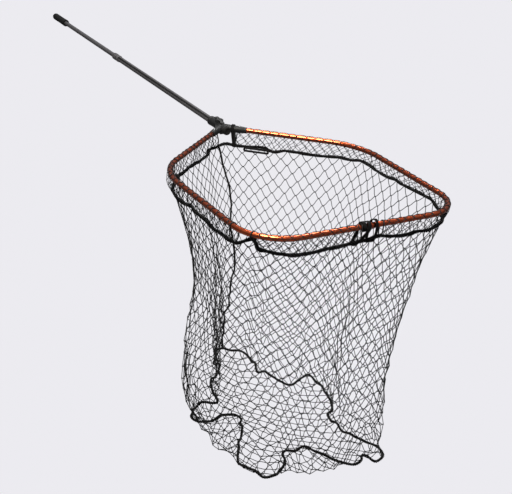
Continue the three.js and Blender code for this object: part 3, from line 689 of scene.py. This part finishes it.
def knot_axes():
    """At each knot, the level direction in which its loops open, and the direction out of the mesh."""
    level = np.tile([1.0, 0.0, 0.0], (len(knots), 1))
    outwards = rim_outline.outward(bag.share)
    level[: len(outwards), :2] = np.c_[outwards[:, 1], -outwards[:, 0]]
    chord = knots[bars[:, 1]] - knots[bars[:, 0]]
    axis = 0.02 * level
    for end, way in ((0, 1), (1, -1)):
        sign = np.sign((way * chord * level[bars[:, end]]).sum(1))
        np.add.at(axis, bars[:, end], (way * sign)[:, None] * chord)
    axis = unit(axis)
    swing = np.zeros_like(knots)
    for end in (0, 1):
        np.add.at(swing, bars[:, end], chord * np.where(chord[:, 2:] > 0, 1, -1))
    return axis, unit(np.cross(axis, swing))


KNOT_REACH = 0.0016
UPPER_BEND, LOWER_BEND = 0.08, 0.26  # how level a bar leaves its upper knot, and enters its lower one
axis, out_of_mesh = knot_axes()


def bar_lines(chosen, steps=4):
    """Curved centre lines of mesh bars. A bar leaves its upper knot steeper than it enters the lower one."""
    a, b = chosen.T
    swap = (knots[a, 2] < knots[b, 2])[:, None]
    a, b = np.where(swap, chosen[:, ::-1], chosen).T
    start, end = knots[a], knots[b]
    chord = end - start
    length = np.linalg.norm(chord, axis=1, keepdims=True)
    ways = []
    for k, level in ((a, UPPER_BEND), (b, LOWER_BEND)):
        side = axis[k] * np.sign((chord * axis[k]).sum(1))[:, None]
        free = ~on_bound_cord[k][:, None]
        ways.append(np.where(free, unit(level * side + (1 - level) * chord / length), chord / length))
        shift = np.where(free, KNOT_REACH * side, 0)
        if k is a:
            start = start + shift
        else:
            end = end - shift
    t = np.linspace(0, 1, steps)[None, :, None]
    first, last = (w[:, None] * length[:, None] for w in ways)
    start, end = start[:, None], end[:, None]
    return (
        (2 * t**3 - 3 * t**2 + 1) * start + (t**3 - 2 * t**2 + t) * first
        + (3 * t**2 - 2 * t**3) * end + (t**3 - t**2) * last
    )


def knot_frames(chosen):
    u = axis[chosen]
    w = unit(out_of_mesh[chosen] - (out_of_mesh[chosen] * u).sum(1, keepdims=True) * u)
    return np.stack([u, np.cross(w, u), w], 1)


KNOT_SIZE = np.array([0.0031, 0.0021, 0.0019])


def net_part(node, part_bars, part_knots):
    """The cords and the knots of one part of the bag, as two pieces."""
    Shape().tubes(bar_lines(part_bars), CORD_RADIUS, 5).piece(f"{node}_cords", cord_black, "mesh_cord", node)
    lumps = Shape().blobs(knots[part_knots], knot_frames(part_knots), KNOT_SIZE)
    lumps.piece(f"{node}_knots", cord_black, "mesh_cord")


net_part("net_wall", bars[: bag.wall_bars], np.arange(COLUMNS, ROWS * COLUMNS))
net_part("net_floor", bars[bag.wall_bars :], np.arange(bag.floor_first, len(knots)))

# Laid cords: round the rim, round the floor and up the back.
once_round = np.linspace(0, 1, 900)
rope(rim_point(once_round), RIM_CORD_RADIUS, pitch=0.024, swell=0.16).piece(
    "rim_cord_bound", bound_cord, "webbing", "rim_cord")


TIE_TURNS, TIE_PITCH, TIE_REACH, TIE_CORD = 4, 0.0018, 0.0085, 0.0021


def tie(name, distance):
    """A cord wound round the rim cord, where the net is gathered at a corner."""
    share = 0.5 + distance / rim_outline.length
    t = np.linspace(0, TIE_TURNS, 24 * TIE_TURNS)
    middle = rim_point(share + TIE_PITCH * (t - TIE_TURNS / 2))
    out = at_height(rim_outline.outward(np.full(len(t), share)), 0)
    turn = 2 * np.pi * t[:, None]
    swell = TIE_REACH * (1 + 0.25 * np.sin(2.7 * t[:, None]))
    coil = middle + swell * (out * np.cos(turn) + np.array([0, 0, 1.15]) * np.sin(turn))
    Shape().tubes(coil, TIE_CORD, 7, out[None]).piece(name, bound_cord, "webbing")


tie("rim_tie_right", -0.352)
tie("rim_tie_left", 0.885)

rope(seam_point(once_round), SEAM_RADIUS, pitch=0.020, swell=0.10).piece(
    "floor_seam_bound", bound_cord, "webbing", "floor_seam")


def wall_point(share, row):
    """A place on the settled wall, between its knots."""
    share, row = np.broadcast_arrays(np.asarray(share, float), np.asarray(row, float))
    low = np.clip(np.floor(row).astype(int), 0, ROWS - 1)

    def on_row(r):
        column = share * COLUMNS - 0.5 * (r % 2)
        first = np.floor(column).astype(int)
        part = (column - first)[..., None]
        here, ahead = (knots[r * COLUMNS + (first + k) % COLUMNS] for k in (0, 1))
        return here * (1 - part) + ahead * part

    part = (row - low)[..., None]
    return on_row(low) * (1 - part) + on_row(low + 1) * part


BACK_SEAM_PATH = [  # share of the depth, and how far the cord has slipped to +X
    (0.00, -0.030), (0.07, -0.022), (0.165, -0.001), (0.26, 0.006), (0.33, -0.006), (0.39, 0.002),
    (0.46, 0.022), (0.56, 0.024), (0.60, 0.008), (0.70, 0.012), (0.76, 0.012), (0.81, 0.0),
    (0.87, 0.003), (0.94, -0.004), (1, 0),
]
depth = np.linspace(0, 1, 41)
slip = np.interp(depth, *zip(*BACK_SEAM_PATH, strict=True))
slip += kinks(depth, seed=8, count=24, reach=0.0016)[:, 0]
back_line = curve_through(wall_point(slip / rim_outline.length, depth * ROWS))
rope(back_line, BACK_SEAM_RADIUS, pitch=0.019, swell=0.12).piece(
    "back_seam_bound", bound_cord, "webbing", "back_seam")


# ---------- sleeves on the hoop
WRAP = HOOP_RADIUS + 0.0007
SLEEVE_ROWS = 0.0135 * np.arange(-4.5, 5)  # round the tube, from its top
SLEEVE_PITCH = 0.029
SLEEVE_SPREAD = 0.0026  # how unevenly its knots are placed
SLEEVE_CORD = 0.00085
SLEEVE_KNOT = KNOT_SIZE * (0.75, 0.8, 0.7)
SOCKET_END = 0.092  # from the apex, along the hoop
SOCKET_HALF = 0.016  # round the tube, from its top
half_hoop = hoop_outline.length / 2


def sleeve_point(distance, around):
    """A place on the doubled mesh: over the tube, then down to the rim cord on either side."""
    distance, around = np.broadcast_arrays(np.asarray(distance, float), np.asarray(around, float))
    share = from_front(distance)
    middle = at_height(hoop_outline.at(share), AXIS_Z)
    out = at_height(hoop_outline.outward(share), 0)
    quarter = WRAP * math.pi / 2
    turn = np.clip(around, -quarter, quarter) / WRAP
    over = middle + WRAP * (out * np.sin(turn)[..., None] + UP * np.cos(turn)[..., None])
    fall = np.clip((np.abs(around) - quarter) / (SLEEVE_ROWS[-1] - quarter), 0, 1)[..., None]
    side = np.sign(around)[..., None]
    foot = rim_point(0.5 + distance / rim_outline.length) + out * side * 0.002
    slack = 0.0035 * np.sin(distance / 0.031 + 2 * side[..., 0])
    slack = slack + 0.002 * np.sin(distance / 0.0117 + around * 90)
    belly = (0.004 * side + slack[..., None]) * np.sin(np.pi * fall)
    return over + (foot - over) * fall + out * belly


def under_socket(distance, around):
    """Where the yoke's socket covers the tube, no mesh goes over it."""
    return abs(distance) > half_hoop - SOCKET_END and abs(around) < SOCKET_HALF


def sleeve(name, start, end, node):
    shape = Shape()
    count = max(2, round((end - start) / SLEEVE_PITCH))
    pitch = (end - start) / count
    knots_at, lines = [], []
    jitter = np.random.default_rng(round(1000 * (start + 2)))
    shift = jitter.normal(0, SLEEVE_SPREAD, (len(SLEEVE_ROWS), count + 1))
    shift[0], shift[-1] = 0.5 * shift[0], 0.5 * shift[-1]

    def place_at(row, column):
        at = start + pitch * np.clip(column + 0.5 * (row % 2), 0, count)
        return at + shift[row, column], SLEEVE_ROWS[row]

    for row in range(len(SLEEVE_ROWS) - 1):
        for column in range(count + 1):
            if column == count and row % 2:
                continue
            for step in ((0, -1) if row % 2 == 0 else (0, 1)):
                other = column + step
                if not 0 <= other <= count or (other == count and (row + 1) % 2):
                    continue
                (d0, v0), (d1, v1) = place_at(row, column), place_at(row + 1, other)
                if under_socket(d0, v0) or under_socket(d1, v1):
                    continue
                t = np.linspace(0, 1, 6)
                ease = t + 0.07 * np.sin(2 * np.pi * t)
                lines.append(sleeve_point(d0 + (d1 - d0) * t, v0 + (v1 - v0) * ease))
            if row and not under_socket(*place_at(row, column)):
                knots_at.append(place_at(row, column))
    shape.tubes(np.array(lines), SLEEVE_CORD, 5)
    d, v = np.array(knots_at).T
    centre = sleeve_point(d, v)
    along = unit(sleeve_point(d + 0.003, v) - sleeve_point(d - 0.003, v))
    down = unit(sleeve_point(d, v + 0.003) - sleeve_point(d, v - 0.003))
    frames = np.stack([along, np.cross(np.cross(along, down), along), np.cross(along, down)], 1)
    shape.blobs(centre, frames, SLEEVE_KNOT, around=6, up=4)
    for at in (start - 0.001, end + 0.001):
        sides = [(SLEEVE_ROWS[0], SLEEVE_ROWS[-1])]
        if under_socket(at, 0):
            sides = [(SLEEVE_ROWS[0], -SOCKET_HALF), (SOCKET_HALF, SLEEVE_ROWS[-1])]
        for first, last in sides:
            edge = np.linspace(first, last, 60)
            shape.tubes(sleeve_point(at + 0.002 * np.sin(edge * 60), edge), 1.6 * CORD_RADIUS, 6)
    shape.piece(name, cord_black, "mesh_cord", node)


sleeve("sleeve_mesh_right", -(half_hoop - 0.052), -0.046, "sleeve_right")
sleeve("sleeve_mesh_front", 0.026, 0.336, "sleeve_front")
sleeve("sleeve_mesh_left", 0.408, half_hoop - 0.060, "sleeve_left")

# ---------- hoop
distance = np.linspace(-(half_hoop - ARM_START), half_hoop - ARM_START, 640)
share = from_front(distance)
centre = at_height(hoop_outline.at(share), AXIS_Z)
out = at_height(hoop_outline.outward(share, 0.001), 0)
turn = -2 * np.pi * np.arange(32) / 32
ring_of = out[:, None] * np.sin(turn)[:, None] + UP * np.cos(turn)[:, None]
Shape().rings(centre[:, None] + HOOP_RADIUS * ring_of).piece(
    "hoop", anodised, "anodised_tube", "hoop_tube", sharp=50)

# ---------- straps and tag
def belt(upper, lower, drop, steps=72):
    """A belt's outline round two bars, the lower one at depth drop: (sideways, up) points, closed."""
    lean = math.asin((upper - lower) / drop)
    line = []
    for a in math.pi / 2 - np.linspace(0, 2 * np.pi, steps, endpoint=False):
        radius, level = (upper, 0) if math.sin(a) > math.sin(-lean) else (lower, -drop)
        line.append((radius * math.cos(a), level + radius * math.sin(a)))
    closed = np.array([*line, line[0]])
    sums = run_along(closed)
    return places_on(closed, sums, np.linspace(0, sums[-1], steps, endpoint=False))


arm = np.array([HOOP_BACK[0], HOOP_BACK[1], 0]) / math.hypot(*HOOP_BACK[:2])
arm_out = np.array([-arm[1], arm[0], 0])
STRAP_AT = 0.040
foot = rim_point(STRAP_AT / rim_outline.length)
strap_drop = AXIS_Z - foot[2]
loop = belt(0.0142, 0.0058, strap_drop)
line = STRAP_AT * arm + UP * AXIS_Z + loop[:, :1] * arm_out + loop[:, 1:] * UP
line += (foot - STRAP_AT * arm - np.array([0, 0, foot[2]])) * np.clip(-loop[:, 1:] / strap_drop, 0, 1)
band(line, arm, 0.0105, 0.0017, closed=True).piece(
    "yoke_strap_band", webbing, "webbing", "yoke_strap")


def front_band(name, node, path, width, lean):
    """Webbing round the front bar. path lists (x, distance behind the bar's axis, height over it)."""
    points = [(x, HOOP_FRONT[1] + y, AXIS_Z + z) for x, y, z in path]
    line = resampled(curve_through(points), 0.0012)
    band(line, lean, width, 0.0021).piece(name, webbing, "webbing", node)


front_band(
    "front_strap_wound", "front_strap_left",
    [(-0.037, 0.014, -0.042), (-0.037, 0.012, -0.050), (-0.036, 0.005, -0.053), (-0.035, -0.001, -0.048),
     (-0.029, -0.006, -0.038), (-0.015, -0.010, -0.020), (-0.005, -0.0115, -0.004),
     (-0.004, -0.007, 0.0105), (-0.008, 0.004, 0.0125), (-0.012, 0.0118, 0.001), (-0.014, 0.005, -0.0108),
     (-0.016, -0.006, -0.0112), (-0.019, -0.0128, 0.002), (-0.021, -0.004, 0.0142), (-0.022, 0.007, 0.0112),
     (-0.023, 0.0112, -0.002), (-0.028, 0.011, -0.020), (-0.034, 0.013, -0.036),
     (-0.035, 0.013, -0.046), (-0.036, 0.008, -0.0535), (-0.036, 0.001, -0.052)],
    0.0115, (1, 0, 0),
)
front_band(
    "front_strap_looped", "front_strap_right",
    [(0.008, -0.001, -0.042), (0.008, 0.003, -0.050), (0.008, 0.009, -0.051), (0.009, 0.0135, -0.042),
     (0.010, 0.011, -0.018), (0.011, 0.0106, -0.002),
     (0.014, 0.009, 0.0100), (0.018, 0.003, 0.0150), (0.020, -0.005, 0.0135), (0.020, -0.0108, 0.002),
     (0.020, -0.010, -0.018), (0.021, -0.004, -0.038),
     (0.021, 0.001, -0.049), (0.021, 0.008, -0.0515), (0.021, 0.0135, -0.044)],
    0.0100, (1, 0.10, 0),
)

TAG_FROM, TAG_TO = 0.076, 0.156
length, height, corner = TAG_TO - TAG_FROM, 0.0100, 0.0042
turn = np.linspace(-math.pi / 2, math.pi / 2, 12)
cap = np.stack([np.cos(turn), np.sin(turn)], -1) * (corner, height / 2)
outline = np.vstack([cap + (length / 2 - corner, 0), -cap + (corner - length / 2, 0)])
tag_middle = (TAG_FROM + TAG_TO) / 2
rim_here = rim_point((tag_middle + outline[:, 0]) / rim_outline.length)
inward = np.r_[-rim_outline.outward(np.array(tag_middle / rim_outline.length)), 0]
line = rim_here + inward * 0.0075 + outline[:, 1:] * UP - UP * 0.0068
line = resampled(np.vstack([line, line[:1]]), 0.0015)[:-1]
band(line, inward, 0.0080, 0.0056, closed=True).piece("label_loop", webbing, "webbing", "label_tag")


# ---------- handle
def section_at(y, radius, sides):
    """A ring square to the handle's axis. The radius can differ round it."""
    turn = 2 * np.pi * np.arange(sides) / sides
    return np.stack([radius * np.sin(turn), np.full(sides, y), AXIS_Z + radius * np.cos(turn)], -1)


def handle_piece(name, profile, material, slot, node, body):
    """A turned shape about the handle's axis. The profile lists (radius, y)."""
    Shape().rings([section_at(y, radius, 64) for radius, y in profile]).piece(
        name, material, slot, node, body, sharp=30)


def fillet(profile, radius, steps=3):
    """The same profile with its outer corners rounded."""
    points = [np.array(p, float) for p in profile]
    rounded = [points[0]]
    for before, here, after in zip(points, points[1:], points[2:], strict=False):
        reach = min(radius, 0.45 * np.linalg.norm(before - here), 0.45 * np.linalg.norm(after - here))
        a, b = here + reach * unit(before - here), here + reach * unit(after - here)
        for t in np.linspace(0, 1, steps + 1):
            rounded.append((1 - t) ** 2 * a + 2 * t * (1 - t) * here + t**2 * b)
    return [*rounded, points[-1]]


def cad_y(node):
    low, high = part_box(node)
    return low.y, high.y


# The outer tube has a keyway pressed into it along its whole length.
OUTER_RADIUS, OUTER_BORE, BORE_SHOWN = 0.011, 0.0093, 0.010
KEYWAY_TURN, KEYWAY_HALF, KEYWAY_DEPTH = math.radians(-42), math.radians(19), 0.0012
front, rear = cad_y("outer_tube")
turn = 2 * np.pi * np.arange(96) / 96
off = np.abs((turn - KEYWAY_TURN + np.pi) % (2 * np.pi) - np.pi)
skin = OUTER_RADIUS - KEYWAY_DEPTH * np.clip((KEYWAY_HALF + 0.03 - off) / 0.045, 0, 1)
stack = [(front + BORE_SHOWN, OUTER_BORE), (front, OUTER_BORE), (front, skin), (0.3, skin), (0.6, skin),
         (rear, skin), (rear, OUTER_BORE), (rear - BORE_SHOWN, OUTER_BORE)]
Shape().rings([section_at(y, radius, 96) for y, radius in stack]).piece(
    "outer_tube_keyed", tube_grey, "handle_tube", "outer_tube", "handle", sharp=35)
# A thin black strip is laid in the keyway. It is painted shade, so that the groove reads as a dark line; it
# takes the rubber finish only for its black colour.
key_out = np.array([math.sin(KEYWAY_TURN), 0, math.cos(KEYWAY_TURN)])
shade_strip_line = np.linspace((0, front + 0.002, AXIS_Z), (0, rear - 0.002, AXIS_Z), 40)
shade_strip_line += (OUTER_RADIUS - KEYWAY_DEPTH + 0.0002) * key_out
band(shade_strip_line, np.cross(key_out, (0, 1, 0)), 0.0066, 0.0007).piece(
    "keyway_strip", rubber, "rubber", body="handle")

front, rear = cad_y("front_plug")
handle_piece("front_plug_domed", fillet([
    (0.0001, front + 0.0015), (0.006, front + 0.0012), (0.0088, front), (0.0115, front + 0.0004),
    (0.0142, front + 0.0024), (0.0145, front + 0.0066), (0.0138, front + 0.0084), (0.0092, front + 0.0084),
    (0.0092, rear), (0.0001, rear)], 0.0008), rubber, "rubber", "front_plug", "handle")

front, rear = cad_y("inner_tube")
handle_piece("inner_tube_drawn", [
    (0.0078, front), (0.0090, front), (0.0090, 1.0), (0.0090, 1.35), (0.0090, rear), (0.0078, rear)],
    tube_grey, "handle_tube", "inner_tube", "extension")

front, rear = cad_y("end_grip")
handle_piece("end_grip_moulded", fillet([
    (0.0093, front + 0.012), (0.0126, front + 0.003), (0.0128, front), (0.0146, front),
    (0.0153, front + 0.0018), (0.0151, front + 0.009), (0.0147, front + 0.045),
    (0.0145, 0.5 * (front + rear)), (0.0147, rear - 0.045), (0.0150, rear - 0.020), (0.0147, rear - 0.010),
    (0.0132, rear - 0.0038), (0.0105, rear - 0.0008), (0.0098, rear),
    (0.0001, rear)], 0.0015, 4), rubber, "rubber", "end_grip", "extension")

# ---------- carried-over CAD pieces
CARRIED = {  # material and the width of the rounding on its edges
    "yoke_body": (nylon, 0.0007), "latch_lever": (nylon, 0.0005), "latch_pad": (rubber, 0.0004),
    "yoke_screw_left": (steel, 0.0003), "yoke_screw_right": (steel, 0.0003),
    "yoke_nut_left": (steel, 0.0003), "yoke_nut_right": (steel, 0.0003),
    "latch_pin": (steel, 0.0002), "latch_spring": (steel, 0), "tube_ferrule": (collar_grey, 0.0004),
    "seal_ring": (rubber, 0.0003), "lock_collar": (collar_grey, 0.0004), "split_bush": (nylon, 0.0002),
    "inner_guide": (nylon, 0.0004), "butt_plug": (nylon, 0.0004),
}
for node, (material, bevel) in CARRIED.items():
    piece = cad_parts[node]
    piece.data.materials.clear()
    piece.data.materials.append(material)
    piece.data.polygons.foreach_set("use_smooth", np.ones(len(piece.data.polygons), bool))
    weld = piece.modifiers.new("weld", "WELD")
    weld.merge_threshold = 0.00002
    if bevel:
        edge = piece.modifiers.new("edges", "BEVEL")
        edge.width = bevel
        edge.segments = 2
        edge.angle_limit = math.radians(24)
        edge.harden_normals = True
        edge.use_clamp_overlap = True

# ---------- stage
FLOOR_Z = -1.45
BACKDROP = (0.838, 0.831, 0.871, 1)  # the plain pale grey seen behind the object


def seen_and_cast(tree, seen, cast):
    """Mixes two shaders: one for what the camera sees, one for the light that falls on the object."""
    path = tree.nodes.new("ShaderNodeLightPath")
    mix = tree.nodes.new("ShaderNodeMixShader")
    tree.links.new(path.outputs["Is Camera Ray"], mix.inputs[0])
    tree.links.new(cast, mix.inputs[1])
    tree.links.new(seen, mix.inputs[2])
    return mix.outputs[0]


floor_finish = bpy.data.materials.new("studio_floor")
floor_finish.use_nodes = True
tree = floor_finish.node_tree
glow = tree.nodes.new("ShaderNodeEmission")
glow.inputs["Color"].default_value = BACKDROP
matt = tree.nodes["Principled BSDF"]
matt.inputs["Base Color"].default_value = (0.18, 0.18, 0.19, 1)
matt.inputs["Roughness"].default_value = 0.9
surface = seen_and_cast(tree, glow.outputs[0], matt.outputs[0])
tree.links.new(surface, tree.nodes["Material Output"].inputs["Surface"])
mesh = bpy.data.meshes.new("studio_floor")
corners = [(x, y, FLOOR_Z) for x, y in ((-40, -40), (40, -40), (40, 40), (-40, 40))]
mesh.from_pydata(corners, [], [(0, 1, 2, 3)])
mesh.materials.append(floor_finish)
added("studio_floor", mesh)

world = bpy.data.worlds.new("studio")
world.use_nodes = True
tree = world.node_tree
backdrop = tree.nodes["Background"]
backdrop.inputs["Color"].default_value = BACKDROP
# The light from the world is brighter overhead than at the horizon.
sky = tree.nodes.new("ShaderNodeBackground")
height_of = tree.nodes.new("ShaderNodeSeparateXYZ")
tree.links.new(tree.nodes.new("ShaderNodeTexCoord").outputs["Generated"], height_of.inputs[0])
sky_colour = ramp(tree, height_of.outputs["Z"], (0.09, 0.09, 0.094), (0.42, 0.42, 0.43), 0.05, 0.95)
tree.links.new(sky_colour, sky.inputs["Color"])
surface = seen_and_cast(tree, backdrop.outputs[0], sky.outputs[0])
tree.links.new(surface, tree.nodes["World Output"].inputs["Surface"])
bpy.context.scene.world = world
bpy.context.scene.view_settings.view_transform = "Standard"


def softbox(name, location, target, size, power, colour=(1, 1, 1)):
    light = bpy.data.lights.new(name, "AREA")
    light.shape, light.size, light.size_y = "RECTANGLE", *size
    light.energy, light.color = power, colour
    lamp = added(name, light)
    lamp.location = location
    lamp.rotation_euler = (Vector(target) - Vector(location)).to_track_quat("-Z", "Y").to_euler()


# The key light shows as a bright line on those parts of the hoop that run square to it.
softbox("key", (-1.1, -1.3, 3.0), (0, -0.4, -0.1), (1.4, 1.0), 150, (1.0, 0.94, 0.82))
softbox("back", (1.6, 1.4, 3.4), (0, -0.4, -0.2), (2.2, 0.6), 85)

camera = added("camera", bpy.data.cameras.new("camera"))
camera.data.lens = 65.86
camera.data.sensor_width = 36
CAMERA_AT = (-1.4243, -2.6157, 0.9992)
CAMERA_AXES = (  # the directions to its right, up and back from it
    (0.86898, -0.48924, 0.07428), (0.15217, 0.40702, 0.90066), (-0.47088, -0.77135, 0.42814))
camera.matrix_world = Matrix.Translation(CAMERA_AT) @ Matrix(CAMERA_AXES).transposed().to_4x4()
bpy.context.scene.camera = camera
